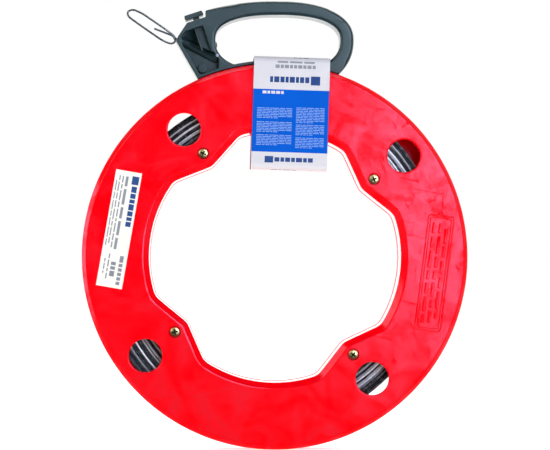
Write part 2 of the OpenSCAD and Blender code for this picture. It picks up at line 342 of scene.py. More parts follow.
class Nodes:
    """A node tree, built by naming each node's kind and what goes into its sockets."""

    def __init__(self, tree):
        self.tree = tree

    def feed(self, socket, value):
        """Links a socket to another one, or gives it a value."""
        if isinstance(value, bpy.types.NodeSocket):
            self.tree.links.new(value, socket)
        else:
            socket.default_value = value

    def add(self, kind, inputs=None, **settings):
        node = self.tree.nodes.new("ShaderNode" + kind)
        for name, value in settings.items():
            setattr(node, name, value)
        for name, value in (inputs or {}).items():
            self.feed(node.inputs[name], value)
        return node

    def spread(self, value, low, high, to_low=0.0, to_high=1.0):
        """Maps a range to another and stops at its ends."""
        made = self.add("MapRange", {"Value": value, "From Min": low, "From Max": high,
                                     "To Min": to_low, "To Max": to_high})
        return made.outputs["Result"]

    def math(self, operation, a, b=0.0):
        return self.add("Math", {0: a, 1: b}, operation=operation).outputs[0]


class Finish(Nodes):
    """A node material built round its Principled shader."""

    def __init__(self, name, **sockets):
        self.material = bpy.data.materials.new(name)
        self.material.use_nodes = True
        super().__init__(self.material.node_tree)
        self.shader = self.tree.nodes["Principled BSDF"]
        self.place = self.add("TexCoord").outputs["Object"]
        self.set(**sockets)

    def set(self, **sockets):
        for name, value in sockets.items():
            self.feed(self.shader.inputs[name.replace("_", " ")], value)

    def noise(self, scale, detail=3.0, roughness=0.55, distortion=0.0, stretch=(1, 1, 1), turned=(0, 0, 0)):
        """Noise from 0 to 1; scale is in features a metre, which are turned and then stretched."""
        place = self.add("Mapping", {"Vector": self.place, "Scale": stretch, "Rotation": turned},
                         vector_type="TEXTURE")
        made = self.add("TexNoise", {"Vector": place.outputs[0], "Scale": scale, "Detail": detail,
                                     "Roughness": roughness, "Distortion": distortion})
        return made.outputs["Fac"]

    def mix(self, share, a, b):
        """A colour between two, each a socket or red, green and blue."""
        made = self.add("Mix", {"Factor": share}, data_type="RGBA")
        for socket, value in ((made.inputs[6], a), (made.inputs[7], b)):
            self.feed(socket, (*value, 1) if isinstance(value, tuple) else value)
        return made.outputs[2]

    def bump(self, *layers):
        """Raises the surface by layers of (height socket, depth in metres)."""
        inputs = {"Strength": 1.0}
        for height, depth in layers:
            inputs.update({"Height": height, "Distance": depth})
            inputs["Normal"] = self.add("Bump", inputs).outputs["Normal"]
        self.set(Normal=inputs["Normal"])

    def scratches(self, scale, share):
        """Fine lines in four directions, 0 or 1."""
        lines = 0.0
        for angle in (0.2, 1.2, 1.7, 2.4):
            streak = self.noise(scale, detail=2, distortion=0.5, stretch=(14, 1, 1), turned=(0, angle, 0))
            lines = self.math("MAXIMUM", lines, self.spread(streak, share, share + 0.015))
        return lines


def glossy_red(name, colour, dark, shine=1.0):
    """Glossy moulded plastic with handling smudges, fine scratches and a slightly wavy face.
    shine scales how much of the light its surface mirrors."""
    made = Finish(name, IOR=1.5)
    smudge = made.noise(30, detail=6, roughness=0.62, distortion=1.2)
    fine = made.noise(170, detail=4, distortion=0.8)
    marks = made.scratches(480, 0.68)
    uneven = made.spread(fine, 0.32, 0.7, -0.13, 0.13)
    gloss = made.math("ADD", made.spread(smudge, 0.38, 0.64, 0.2, 0.66), uneven)
    level = made.math("SUBTRACT", gloss, made.math("MULTIPLY", marks, 0.28))
    made.set(Specular_IOR_Level=made.math("MULTIPLY", level, shine))
    made.set(Roughness=made.spread(smudge, 0.35, 0.7, 0.1, 0.19))
    made.set(Base_Color=made.mix(made.spread(smudge, 0.42, 0.75), colour, dark))
    made.set(Specular_Tint=(1, 0.7, 0.95, 1))
    made.bump((made.noise(9, detail=1), 0.0007), (made.noise(1500, detail=1), 0.000004), (marks, 0.00001))
    return made.material


def moulded_slate(name, colour, light):
    """Satin moulded plastic with a fine grain and lighter rubbed patches."""
    made = Finish(name, IOR=1.5, Specular_IOR_Level=0.68, Specular_Tint=(0.95, 1, 0.88, 1))
    grain = made.noise(1400, detail=2)
    wear = made.noise(38, detail=5, roughness=0.65, distortion=0.8)
    marks = made.scratches(520, 0.72)
    made.set(Base_Color=made.mix(made.spread(wear, 0.45, 0.8), colour, light))
    worn = made.spread(wear, 0.3, 0.8, 0.28, 0.42)
    made.set(Roughness=made.math("ADD", worn, made.math("MULTIPLY", marks, 0.15)))
    made.bump((grain, 0.00004), (marks, 0.00001))
    return made.material


def bare_steel(name, dark, light, rough=0.3, attribute=None, metal=1.0):
    """Cold-rolled steel with drawn streaks; an attribute of the mesh may paint each strand from near black to
    near white, which is painted glints and painted shade.
    """
    made = Finish(name, Metallic=metal)
    streak = made.noise(300, detail=3, distortion=0.4)
    if attribute:
        painted_glint_and_shade = made.add("Attribute", attribute_name=attribute).outputs["Fac"]
        share = made.math("ADD", made.math("MULTIPLY", painted_glint_and_shade, 0.95), made.spread(streak, 0.3, 0.7, -0.1, 0.1))
    else:
        share = made.spread(streak, 0.3, 0.75)
    made.set(Base_Color=made.mix(share, dark, light))
    made.set(Roughness=made.spread(made.noise(120, detail=3), 0.3, 0.8, rough, rough + 0.18))
    made.bump((made.noise(900, detail=2, stretch=(1, 5, 1)), 0.00002))
    return made.material


def plated(name, colour, stain, shade_from=-1.0):
    """Plated screw metal, stained, and painted near black up to the given depth in metres in front of the
    parting plane: painted shade where the screws sit down in their cross recesses and pockets.
    """
    made = Finish(name, Metallic=1.0)
    spots = made.noise(700, detail=4, roughness=0.7)
    depth = made.add("SeparateXYZ", {"Vector": made.place}).outputs["Y"]
    # Painted shade: near black on all of the metal nearer the parting plane than the given depth, down in the
    # recesses.
    recess_shade = made.spread(depth, -shade_from, 0.0008 - shade_from)
    metal = made.mix(made.spread(spots, 0.42, 0.7), colour, stain)
    made.set(Base_Color=made.mix(recess_shade, metal, (0.012, 0.01, 0.005)))
    made.set(Roughness=made.spread(spots, 0.3, 0.7, 0.2, 0.42))
    made.bump((made.noise(2500, detail=2), 0.00002))
    return made.material


def paper(name, colour, shade, rough=0.5):
    """Printed card or paper with fibres and slight stains."""
    made = Finish(name, Specular_IOR_Level=0.05)
    fibre = made.noise(2200, detail=3)
    stains = made.noise(22, detail=4, distortion=0.6)
    made.set(Base_Color=made.mix(made.spread(stains, 0.35, 0.8), colour, shade))
    made.set(Roughness=made.spread(fibre, 0.2, 0.8, rough - 0.06, rough + 0.1))
    made.bump((made.noise(60, detail=2), 0.0002), (fibre, 0.00001))
    return made.material


def rubber(name):
    """Dark matt rubber with a grain."""
    made = Finish(name, Roughness=0.7)
    grain = made.noise(1800, detail=3)
    made.set(Base_Color=made.mix(grain, (0.012, 0.012, 0.013), (0.04, 0.04, 0.042)))
    made.bump((grain, 0.00005))
    return made.material


RED = glossy_red("red_plastic", (0.9, 0.0, 0.003), (0.78, 0.0, 0.006))
# The rear shell is the same red plastic as the front; this copy has a brighter base colour, which is painted
# light for the shaded inside of the case, and a weaker sheen.
REAR_RED_PAINTED_LIGHT = glossy_red("dark_red_plastic", (1.0, 0.0, 0.002), (0.8, 0.0, 0.002), 0.15)
SLATE = moulded_slate("slate_plastic", (0.011, 0.027, 0.029), (0.022, 0.043, 0.045))
# The strands run from near black to near white by a mesh attribute: painted glints and painted shade.
STRAND_STEEL = bare_steel("strand_steel", (0.012, 0.012, 0.012), (0.95, 0.93, 0.9), 0.22, "painted_glint_and_shade", 0.35)
TAPE_STEEL = bare_steel("tape_steel", (0.13, 0.13, 0.125), (0.3, 0.295, 0.28), 0.3)
PLAIN_STEEL = bare_steel("plain_steel", (0.42, 0.42, 0.43), (0.66, 0.66, 0.67), 0.22)
BLACK_STEEL = plated("black_steel", (0.035, 0.035, 0.038), (0.08, 0.075, 0.07))
# Yellow zinc screws, painted near black as shade down in their recesses.
YELLOW_ZINC = plated("yellow_zinc", (1.0, 0.86, 0.36), (0.5, 0.42, 0.14), RECESS_SHADE_FROM)
PAD_RUBBER = rubber("pad_rubber")
WHITE_PAPER = paper("white_label", (0.84, 0.79, 0.66), (0.78, 0.73, 0.61), 0.35)
GREY_INK = paper("grey_ink", (0.2, 0.2, 0.21), (0.28, 0.28, 0.29), 0.4)
NAVY_INK = paper("navy_ink", (0.02, 0.05, 0.16), (0.04, 0.09, 0.22), 0.35)
WHITE_CARD = paper("white_card", (0.62, 0.58, 0.55), (0.55, 0.52, 0.5), 0.3)
BLUE_CARD = paper("blue_card", (0.0, 0.09, 0.47), (0.0, 0.075, 0.4), 0.3)
PALE_INK = paper("pale_ink", (0.2, 0.32, 0.58), (0.26, 0.38, 0.6), 0.35)


# --- Case ---

RING_ANGLES = np.radians(np.arange(RING_STEPS) * 360 / RING_STEPS)


def on_ring(radius):
    """The points of a ring, for one radius or for one at each step."""
    return np.stack([radius * np.cos(RING_ANGLES), radius * np.sin(RING_ANGLES)], 1)


def hub_line():
    """The edge of the open centre, with its four points, and the way out of the hole at each step."""
    radius = np.full(RING_STEPS, float(HOLE_R))
    half = math.radians(CORNER_HALF)
    slope = (HOLE_R * math.cos(half) - CORNER_TIP) / (HOLE_R * math.sin(half))
    for corner in CORNER_ANGLES:
        off = np.abs((RING_ANGLES - math.radians(corner) + math.pi) % (2 * math.pi) - math.pi)
        flank = CORNER_TIP / (np.cos(off) - slope * np.sin(off))
        radius = np.where(off < half, np.minimum(radius, flank), radius)
    line = on_ring(radius)
    for _ in range(14):
        line = (np.roll(line, 1, 0) + 2 * line + np.roll(line, -1, 0)) / 4
    along = np.roll(line, -1, 0) - np.roll(line, 1, 0)
    away = np.stack([along[:, 1], -along[:, 0]], 1) / np.linalg.norm(along, axis=1)[:, None]
    return line, away


HUB_LINE, HUB_AWAY = hub_line()


def shell_ring(u, f):
    """A ring of points: u below 50 is a distance from the edge of the open centre, above it a radius."""
    return [(x, -f, z) for x, z in (HUB_LINE + u * HUB_AWAY if u < 50 else on_ring(u))]


def shell(side):
    """One moulded shell, in front of the parting plane for side 1 and behind it for side -1.
    The hub's wall leans out by draft at the front, and at the rear a bead runs round it."""
    rail_in, rail_out, rail_f = 143.4, 145.9, 6.5
    lip_w, lip_f, face_from = 5.2, HALF_W - 2.8, 7
    ring_from, chamfer, bevel_r = 112, 3.5, 1.4
    draft, bead = (0.5, []) if side > 0 else (0, [(0, 9, 0), (-0.35, 9.6, 0.2), (-0.35, 11, 0.3)])
    profile = rounded([
        (0, 0, 0), *bead, (draft, lip_f, 0.8), (lip_w, HALF_W, 4), (face_from, HALF_W, 0),
        (ring_from, HALF_W, 0), (CASE_R - chamfer - bevel_r, HALF_W, 0),
        (CASE_R - chamfer, HALF_W, bevel_r), (CASE_R, HALF_W - chamfer, 2.0),
        (CASE_R, RIM_GAP / 2, 0.3), (CASE_R - WALL, RIM_GAP / 2, 0.3),
        (CASE_R - WALL, FACE_IN, 0), (rail_out, FACE_IN, 0), (rail_out, rail_f, 0.3), (rail_in, rail_f, 0.3),
        (rail_in, FACE_IN, 0), (HUB_R, FACE_IN, 1), (HUB_R, 0.4, 0),
    ])
    return Shape().rings([shell_ring(u, side * f) for u, f in profile])


def window_cutters(which, side, window_r):
    """Round cutters whose mouths flare, so that each window gets a rounded rim."""
    flare = ((0, FACE_IN - 2), (0, HALF_W - 1.3), (0.12, HALF_W - 0.85), (0.4, HALF_W - 0.42),
             (0.8, HALF_W - 0.14), (1.35, HALF_W + 0.03), (1.35, HALF_W + 2))
    cutters = Shape()
    for i in which:
        cutters.lathe([(window_r + grow, f) for grow, f in flare], on_circle(*WINDOWS[i]), 72, side)
    return cutters


def screw_places():
    """The middle of each case screw."""
    return [on_circle(SCREW_CIRCLE_R, angle) for angle in CORNER_ANGLES]


def screw_cutters():
    """The pockets round the screw heads, with rounded mouths."""
    profile = [(SCREW_POCKET_R + grow, HALF_W + f)
               for grow, f in ((-0.2, -2.8), (0, -0.5), (0.15, -0.2), (0.45, 0.05), (0.45, 1))]
    cutters = Shape()
    for place in screw_places():
        cutters.lathe(profile, place)
    return cutters


def cross_outline(reach, half):
    """A cross whose arms reach out from the middle."""
    corner = [(reach, -half), (reach, half), (half, half)]
    return [p for k in range(4) for p in turn(corner, 90 * k)]


def make_screws():
    """The four case screws, with a cross recess in each head."""
    head = ((0.3, 17.34), (2.0, 17.28), (3.1, 17.12), (3.7, 16.85), (3.95, 16.5), (4.0, 16.0), (4.0, 15.3))
    shank = ((2.0, 15.2), (2.0, -12), (0.5, -14))
    recess_floor, leans = 15.4, (24, 68, 12, 50)
    screws, recesses = Shape(), Shape()
    for place, lean in zip(screw_places(), leans):
        screws.lathe(head + shank, place)
        recesses.plate(turn(cross_outline(2.4, 0.62), lean, place), recess_floor, HALF_W + 1)
    made = new_object("case_fixings", screws)
    combine(made, recesses, "DIFFERENCE")
    finish_piece(made, "reel", [YELLOW_ZINC], ["case_screws"])


def raised_panel():
    """A raised frame on the face, with rows of short raised bars in it."""
    centre, tilt, width, height = (125.8, -13.2), -7.3, 21.5, 92.5
    low, high = HALF_W - 0.4, HALF_W + 0.8
    panel = Shape()

    def raise_outline(outline, holes=(), edge=0.65):
        inner = [turn(hole, tilt, centre) for hole in holes]
        panel.plate(turn(outline, tilt, centre), low, high, 0, edge, inner, 3)

    def frame_outline(inward, thick, radius):
        w, h = width / 2 - inward, height / 2 - inward
        inner = box_outline((thick - w, thick - h), (w - thick, h - thick), radius - thick)
        raise_outline(box_outline((-w, -h), (w, h), radius), [inner], thick * 0.45)

    frame_outline(0, 1.2, 3)
    frame_outline(2.0, 0.9, 2.4)
    bar_half, gap = 1.35, 2.2
    rows = ((-5.0, (7, 12, 9, 7, 14, 9, 9)), (0.0, (10, 6, 12, 7, 9, 14, 8)), (5.0, (6, 14, 9, 11, 9, 12)))
    for x, lengths in rows:
        z = -(sum(lengths) + gap * (len(lengths) - 1)) / 2
        for length in lengths:
            raise_outline(box_outline((x - bar_half, z), (x + bar_half, z + length), 0.9))
            z += length + gap
    return panel


def make_case():
    """The two shells: all four windows go through the front one, and the open ones through both."""
    front = new_object("front_shell", shell(1))
    combine(front, window_cutters(range(4), 1, WINDOW_R), "DIFFERENCE")
    combine(front, screw_cutters(), "DIFFERENCE")
    join_on(front, raised_panel())
    finish_piece(front, "reel", [RED], ["case_front"], flat_faces=True)
    rear = new_object("rear_shell", shell(-1))
    combine(rear, window_cutters(OPEN_WINDOWS, -1, REAR_WINDOW_R), "DIFFERENCE")
    finish_piece(rear, "reel", [REAR_RED_PAINTED_LIGHT], ["case_rear"], flat_faces=True)


# --- Wound tape ---

def coil_slack(angle):
    """How far the outermost turn lies off a circle: the coil hangs low and bulges at the lower left."""
    return 2.2 - 2.4 * math.cos(angle) - 3 * math.sin(angle) + 3.2 * math.sin(2 * angle)


def make_coil():
    """The tape wound in loose layers of four turns, each turn twisted a little along its way."""
    across, layers, steps, start = 4, 16, 120, math.radians(262)
    wander_r, wander_y, most_twist, row_pitch = 0.35, 1.3, 0.5, 0.93
    section = [(0.5, 0.34), (0.36, 0.46), (0.14, 0.5), (-0.14, 0.5), (-0.36, 0.46), (-0.5, 0.34)]
    section += [(-dr, -dy) for dr, dy in section]
    rings, painted_glints_and_shades = [], []
    for i in range(across * layers * steps + 1):
        t = i / steps
        layer, row = divmod(t, across)
        row = row if int(layer) % 2 == 0 else across - row
        a = start + 2 * math.pi * t
        wander = noise.noise(Vector((1.7 * math.cos(a), 1.7 * math.sin(a), 0.83 * int(t))))
        twist = most_twist * noise.noise(Vector((2.1 * math.cos(a), 2.1 * math.sin(a), 40 + 1.31 * int(t))))
        share = layer / layers
        radius = COIL_IN + 0.9 + (COIL_OUT - COIL_IN - 1.6) * share + wander_r * wander
        radius += (0.45 + 0.55 * share) * coil_slack(a) * min(1.0, 0.6 + share)
        y = (row - across / 2) * TAPE_W * row_pitch + wander_y * wander
        y = max(-COIL_HALF_H + TAPE_W / 2, min(COIL_HALF_H - TAPE_W / 2, y))
        c, s = math.cos(twist), math.sin(twist)
        for dr, dy in section:
            r = radius + c * dr * TAPE_T - s * dy * TAPE_W
            rings.append((r * math.cos(a), y + s * dr * TAPE_T + c * dy * TAPE_W, r * math.sin(a)))
        # Each turn's colour runs from near black to near white: painted glints and painted shade on the
        # strands, not the steel's own colour.
        pick = noise.cell(Vector((int(t) + 0.5, 7.5, 3.5))) + 0.7 * noise.noise(Vector((1.37 * t, 2.4, 0.8)))
        painted_glints_and_shades.append(share_of(2.1 * (pick - 0.17), 1))
    count = len(section)
    shape = Shape().rings([rings[i:i + count] for i in range(0, len(rings), count)], closed=False, caps=True)
    mesh = bpy.data.meshes.new("wound_tape")
    mesh.from_pydata([[c / 1000 for c in p] for p in shape.points], [], shape.faces)
    painted_glint_and_shade = mesh.attributes.new("painted_glint_and_shade", "FLOAT", "POINT")
    painted_glint_and_shade.data.foreach_set("value", np.repeat(np.array(painted_glints_and_shades, np.float32), count))
    coil = new_object("wound_tape", mesh)
    finish_piece(coil, "reel", [STRAND_STEEL], ["tape_coil"], crease=60)


# --- Handle ---

GRIP = ((3.1, 171.7), 59.5, 30.6, 41, 2.25)
OPENING = ((2.3, 171.7), 49.4, 19.6, 25, 2.4)
CROWN_CENTRE, CROWN_R = (-3, 21.3), 181
NOTCH_WALL = [(-55.2, 194.3, 1.3), (-54.9, 189.7, 0.9), (-69.7, 184.8, 1.0)]
NOSE = [(-76.6, 174.4, 1.5), (-78.4, 170.4, 0.9)]
NOSE_HEEL = (-60.7, 139.4)
WEB = 2.2
GUIDE_HALF, GUIDE_TOP, GUIDE_END = 3.35, 6.3, 36
STEM_HALF, STEM_DEPTH, STEM_GAP, PAD_TOP = 2.5, 5, 0.3, 5.1
SCREWS_AT = ((-40, 191.6), (57.2, 171))
NOSE_SCREW_AT, NOSE_BOSS = (-57.3, 149.3), 7


def between(test, start, end):
    """The value from start to end where a test turns from false to true."""
    for _ in range(40):
        middle = (start + end) / 2
        start, end = (start, middle) if test(middle) else (middle, end)
    return end


def arc(radius, start, end, steps, centre=(0, 0)):
    """Points on a circle between two angles in degrees."""
    return [on_circle(radius, start + (end - start) * i / steps, centre) for i in range(steps + 1)]


def angle_of(point):
    """The direction of a point from the reel's axis, in degrees."""
    return math.degrees(math.atan2(point[1], point[0]))


def grown(oval, distance):
    """An oval with its edge moved outwards."""
    centre, half, up, down, power = oval
    return (centre, half + distance, up + distance, down + distance, power)


def oval_stretch(oval, start, end, steps):
    """Points of an oval between two angles in degrees."""
    return [oval_point(*oval, start + (end - start) * i / steps) for i in range(steps + 1)]


def on_segment(start, end, radius):
    """The point of a segment at a distance from the reel's axis, which it reaches from outside."""
    def at(share):
        return (start[0] + share * (end[0] - start[0]), start[1] + share * (end[1] - start[1]))
    return at(between(lambda share: math.hypot(*at(share)) < radius, 0.0, 1.0))


def handle_outline():
    """The handle from the front: the grip's oval, the crown over the nose, the nose and the seat."""
    first = between(lambda a: math.hypot(*oval_point(*GRIP, a)) > SEAT_R, -70.0, 0.0)
    heel = on_segment(NOSE[-1][:2], NOSE_HEEL, SEAT_R)
    smooth = oval_stretch(GRIP, first, 88, 64)[:-1] + arc(CROWN_R, 88.2, 106.4, 24, CROWN_CENTRE)
    seat = arc(SEAT_R, angle_of(heel), angle_of(smooth[0]), 48)[:-1]
    return rounded(sharp(smooth) + NOTCH_WALL + NOSE + sharp(seat))


def opening_outline(grow=0.0, floor_r=STRIP_R):
    """The finger opening, stopped by the strip that follows the rim."""
    oval = grown(OPENING, grow)
    first = between(lambda a: math.hypot(*oval_point(*oval, a)) > floor_r, -75.0, 0.0)
    last = between(lambda a: math.hypot(*oval_point(*oval, a)) < floor_r, 180.0, 255.0)
    smooth = oval_stretch(oval, first, last, 110)
    floor = arc(floor_r, angle_of(smooth[-1]), angle_of(smooth[0]), 40)[1:-1]
    return rounded(sharp(smooth[2:-2]) + [(*smooth[-1], 3)] + sharp(floor[2:-2]) + [(*smooth[0], 3)], 6)


def above_guide(point):
    """How far a point is above the middle of the tape guide."""
    lean = math.radians(-GUIDE_ANGLE)
    x, z = point[0] - GUIDE_MOUTH[0], point[1] - GUIDE_MOUTH[1]
    return x * math.sin(lean) + z * math.cos(lean)


def nose_pocket_outline():
    """The pocket in the face of the nose, round the land between the button's channel and the opening."""
    right = -44.6
    oval = grown(OPENING, 3)
    knee = (-73.2, 167.2)
    heel = on_segment(knee, (-59.3, 143), STRIP_R)
    floor = arc(STRIP_R, angle_of(heel), 90 + math.degrees(math.asin(-right / STRIP_R)), 8)
    low = between(lambda a: oval_point(*oval, a)[0] < right, 250.0, 200.0)
    high = between(lambda a: above_guide(oval_point(*oval, a)) > GUIDE_HALF, 240.0, 180.0)
    side = oval_stretch(oval, low, high, 6)
    channel = on_button([(STEM_HALF + STEM_GAP, -27.1), (STEM_HALF + STEM_GAP, -6)])
    return rounded([(-71.1, 178, 1.2), (-74, 173.6, 1.5), (*knee, 1)] + sharp(floor + side)
                   + [(*channel[0], 0.6), (*channel[1], 0.4)])


def grip_edge(x, z):
    """Radius of the handle's front edges: soft on the grip, crisp on the nose and along the rim."""
    crisp, nose_x, (middle_x, middle_z) = 0.6, -58, GRIP[0]
    soft = 3.3 if math.hypot(x - middle_x, (z - middle_z) * 1.45) > 53 else 2.3
    return crisp + (soft - crisp) * share_of(x - nose_x, 22) * share_of(math.hypot(x, z) - STRIP_R - 0.5, 8)


def opening_edge(x, z):
    """Radius of the opening's edges, crisp along the rim."""
    return 0.6 + 1.9 * share_of(math.hypot(x, z) - STRIP_R, 6)


def guide_tube():
    """The half-round tube over the tape's way through the nose."""
    low, crown = WEB - 1, GUIDE_TOP - GUIDE_HALF
    section = [(-GUIDE_HALF, low), (-GUIDE_HALF, crown)]
    section += [(-GUIDE_HALF * math.cos(math.radians(a)), crown + GUIDE_HALF * math.sin(math.radians(a)))
                for a in range(15, 180, 15)]
    section += [(GUIDE_HALF, crown), (GUIDE_HALF, low)]
    rings = []
    for x, shrink in ((1.0, 1.0), (GUIDE_END - 0.6, 1.0), (GUIDE_END, 0.88)):
        ring = []
        for z, f in section:
            px, pz = on_guide([(x, z * shrink)])[0]
            ring.append((px, -(low + (f - low) * shrink), pz))
        rings.append(ring)
    return Shape().rings(rings, closed=False, caps=True)


def foot():
    """The hooked foot that runs inside the rim's gap and holds the handle on the case."""
    foot_in, foot_out, foot_half, neck = 146.3, CASE_R - WALL - 0.4, 12, RIM_GAP / 2 - 0.7
    section = [(foot_in, 0), (SEAT_R + 0.6, 0), (SEAT_R + 0.6, neck), (foot_out, neck), (foot_out, foot_half),
               (foot_in, foot_half)]
    rings = []
    for degrees in range(72, 113):
        x, z = on_circle(1, degrees)
        rings.append([(r * x, -f, r * z) for r, f in section])
    return Shape().rings(rings, closed=False, caps=True)


def stem_end(x, height):
    """The point of the button's frame at x that is at a height above the middle of the tape guide."""
    start, rise = (above_guide(on_button([(x, z)])[0]) for z in (0, 1))
    return x, (height - start) / (rise - start)


def stem_spaces():
    """The slots for the stem and, through the wall of the guide, for its pad."""
    half = STEM_HALF + STEM_GAP
    stem = [stem_end(-half, GUIDE_HALF - 0.1), stem_end(half, GUIDE_HALF - 0.1), (half, 2), (-half, 2)]
    pad = [stem_end(-half, 0), stem_end(half, 0), stem_end(half, GUIDE_HALF), stem_end(-half, GUIDE_HALF)]
    return [Shape().plate(on_button(stem), -1, STEM_DEPTH + STEM_GAP), Shape().plate(on_button(pad), -1, 3.1)]


def tape_space():
    """The tape's way through the guide, with room round it."""
    half = TAPE_T / 2 + 0.4
    return Shape().plate(on_guide(box_outline((-3, -half), (107, half))), -1, TAPE_W / 2 + 0.5)


def make_handle_half(name, side, rib_top, node):
    """One moulded half of the handle: side 1 is the front one."""
    def place(shape):
        """The shape on this half's side of the parting plane."""
        shape.points = [(x, side * y, z) for x, y, z in shape.points]
        return shape

    half = new_object(name, place(Shape().plate(
        handle_outline(), 0, HALF_GRIP, 0.25, grip_edge, [opening_outline()], 6, opening_edge)))
    combine(half, place(Shape().plate(nose_pocket_outline(), WEB, HALF_GRIP, 0, -0.5)), "DIFFERENCE")
    rib = box_outline((-STEM_HALF - STEM_GAP - 1.6, -24.8), (-STEM_HALF - STEM_GAP, -5.5), 0.3)
    boss = turn(round_outline(3.5), 0, NOSE_SCREW_AT)
    nub = turn([(1.2 * x, 2.9 * z) for x, z in round_outline(1, 20)], 8, (-46.9, 168.4))
    added = [guide_tube(), foot(), Shape().plate(on_button(rib), WEB - 1, rib_top, 0, 0.35),
             Shape().plate(boss, WEB - 1, NOSE_BOSS, 0, 0.3), Shape().plate(nub, 0, 2.5, 0, 1)]
    if side < 0:
        ledge = box_outline((-STEM_HALF - 1, -21.6), (STEM_HALF + 1, -19.8))
        added.append(Shape().plate(on_button(ledge), STEM_DEPTH + STEM_GAP, HALF_GRIP - 0.4))
    for shape in added:
        combine(half, place(shape), "UNION")
    removed = [tape_space(), *stem_spaces()]
    if side > 0:
        pin_hole = turn(round_outline(1.3, 20), 0, on_guide([(34.5, 2.2)])[0])
        removed.append(Shape().plate(pin_hole, 2, HALF_GRIP, 0, -0.2))
    else:
        removed += [Shape().plate(turn(round_outline(3.1), 0, at), HALF_GRIP - 2.4, HALF_GRIP, 0, -0.3)
                    for at in SCREWS_AT]
    for shape in removed:
        combine(half, place(shape), "DIFFERENCE")
    finish_piece(half, "handle", [SLATE], [node], 28, flat_faces=True)


def make_button():
    """The T-shaped brake button: a head for the thumb, a ribbed stem and a hook over its spring."""
    low, high = BUTTON_TRAVEL + 0.1, 6.3
    head = rounded([(-8.9, low, 0.9), (6.6, low, 0.9), (5.9, high, 1), (-8.7, high, 1)], 4)
    stem = [stem_end(-STEM_HALF, PAD_TOP), stem_end(STEM_HALF, PAD_TOP), (STEM_HALF, 3), (-STEM_HALF, 3)]
    button = new_object("brake_lever", Shape().plate(on_button(stem), -STEM_DEPTH, 4.1, 0.2, 0.3))
    combine(button, Shape().plate(on_button(head), -8, 8, 0.5, 0.5, steps=4), "UNION")
    for x in (-1.1, 1.0):
        rib = box_outline((x - 0.35, -20), (x + 0.35, 2.6), 0.3)
        combine(button, Shape().plate(on_button(rib), 3.5, STEM_DEPTH, 0, 0.2), "UNION")
    hook = box_outline((-2.2, -10), (2.2, -7.2), 0.3)
    combine(button, Shape().plate(on_button(hook), -10.8, -4, 0.2), "UNION")
    slot = box_outline((-1.2, -5), (1.2, -0.2), 1.1)
    combine(button, Shape().plate(on_button(slot), -STEM_DEPTH - 1, STEM_DEPTH + 1), "DIFFERENCE")
    finish_piece(button, "brake", [SLATE], ["brake_button"], flat_faces=True)


# --- Drawn-out tape ---

def smooth_route(points, steps=6):
    """A Catmull-Rom curve through points of three coordinates."""
    points = [Vector(p) for p in points]
    points = [2 * points[0] - points[1], *points, 2 * points[-1] - points[-2]]
    line = []
    for a, b, c, d in zip(points, points[1:], points[2:], points[3:]):
        for k in range(steps):
            t = k / steps
            line.append(0.5 * (2 * b + (c - a) * t + (2 * a - 5 * b + 4 * c - d) * t * t
                               + (3 * b - a - 3 * c + d) * t ** 3))
    return line + [points[-2]]


def make_drawn_tape():
    """The tape's outer end: straight through the guide, round in a long eye, and a tail beside the tape."""
    eye = [(0, 0), (-1.5, 1), (-4.5, 4.3), (-14.5, 11.5), (-22.2, 16.7), (-27.2, 20.1), (-32.3, 22.6),
           (-34.6, 23.3), (-36.9, 23.2), (-38.9, 22), (-39.5, 20.1), (-38.6, 18.1), (-36.6, 16.2),
           (-28.7, 10.5), (-19.6, 4.1), (-12.1, -0.9), (-7, -3.2), (-4.6, -3.6), (-2.6, -2.8), (-1.8, -1.1),
           (-3.2, 1.9), (-5.8, 3.4), (-9.5, 4.9), (-18.3, 8.2)]
    # The inner end stops where the coil's bulge still passes it when the reel turns.
    route = [(x, 0, z) for x, z in turn([(64, 0), (20, 0), (6, 0)], GUIDE_ANGLE)]
    tail_off, leaves_at, beside_at = 3.3, 9, 15
    for i, (x, z) in enumerate(eye):
        route.append((x, -tail_off * share_of(i - leaves_at, beside_at - leaves_at), z))
    line = smooth_route(route)
    w, t = TAPE_W / 2, TAPE_T / 2
    section = [(w, -t * 0.6), (w, t * 0.6), (w - 0.25, t), (-w + 0.25, t), (-w, t * 0.6), (-w, -t * 0.6),
               (-w + 0.25, -t), (w - 0.25, -t)]
    rings = []
    for i, here in enumerate(line):
        along = line[min(i + 1, len(line) - 1)] - line[max(i - 1, 0)]
        side = Vector((-along.z, 0, along.x)).normalized()
        rings.append([(GUIDE_MOUTH[0] + here.x + b * side.x, here.y + a, GUIDE_MOUTH[1] + here.z + b * side.z)
                      for a, b in section])
    tape = new_object("drawn_tape", Shape().rings(rings, closed=False, caps=True))
    finish_piece(tape, "tape", [TAPE_STEEL], ["tape_lead"], crease=50)


# --- Printed pieces ---

def words(x0, x1, z0, z1, lengths, mark, gap, upright=False):
    """Bars that stand for a line of print, in a strip from corner to corner, with gaps between them."""
    span = (z1 - z0) if upright else (x1 - x0)
    scale = (span - gap * (len(lengths) - 1)) / sum(lengths)
    bars, at = [], 0.0
    for length in lengths:
        size = length * scale
        if upright:
            bars.append((x0, z1 - at - size, x1, z1 - at, mark))
        else:
            bars.append((x0 + at, z0, x0 + at + size, z1, mark))
        at += size + gap
    return bars


def cuts(bars, axis, low, high, spacing, shift=0):
    """Sorted cuts of a grid along an axis, 0 or 1: the edges of its bars, and a regular spacing."""
    steps = round((high - low) / spacing)
    regular = [low + (high - low) * i / steps for i in range(steps + 1)]
    values = [bar[i] + shift for bar in bars for i in (axis, axis + 2)]
    inside = sorted({round(v, 3) for v in values if low < v < high})
    kept = [v for v in regular if all(abs(v - e) > 0.3 for e in inside) or v in (low, high)]
    return sorted(set(inside + kept))


def printed(bars):
    """A function that gives the material of the last bar over a place, or the sheet's own."""
    def mark_at(u, v):
        for x0, z0, x1, z1, mark in reversed(bars):
            if x0 < u < x1 and z0 < v < z1:
                return mark
        return 0
    return mark_at


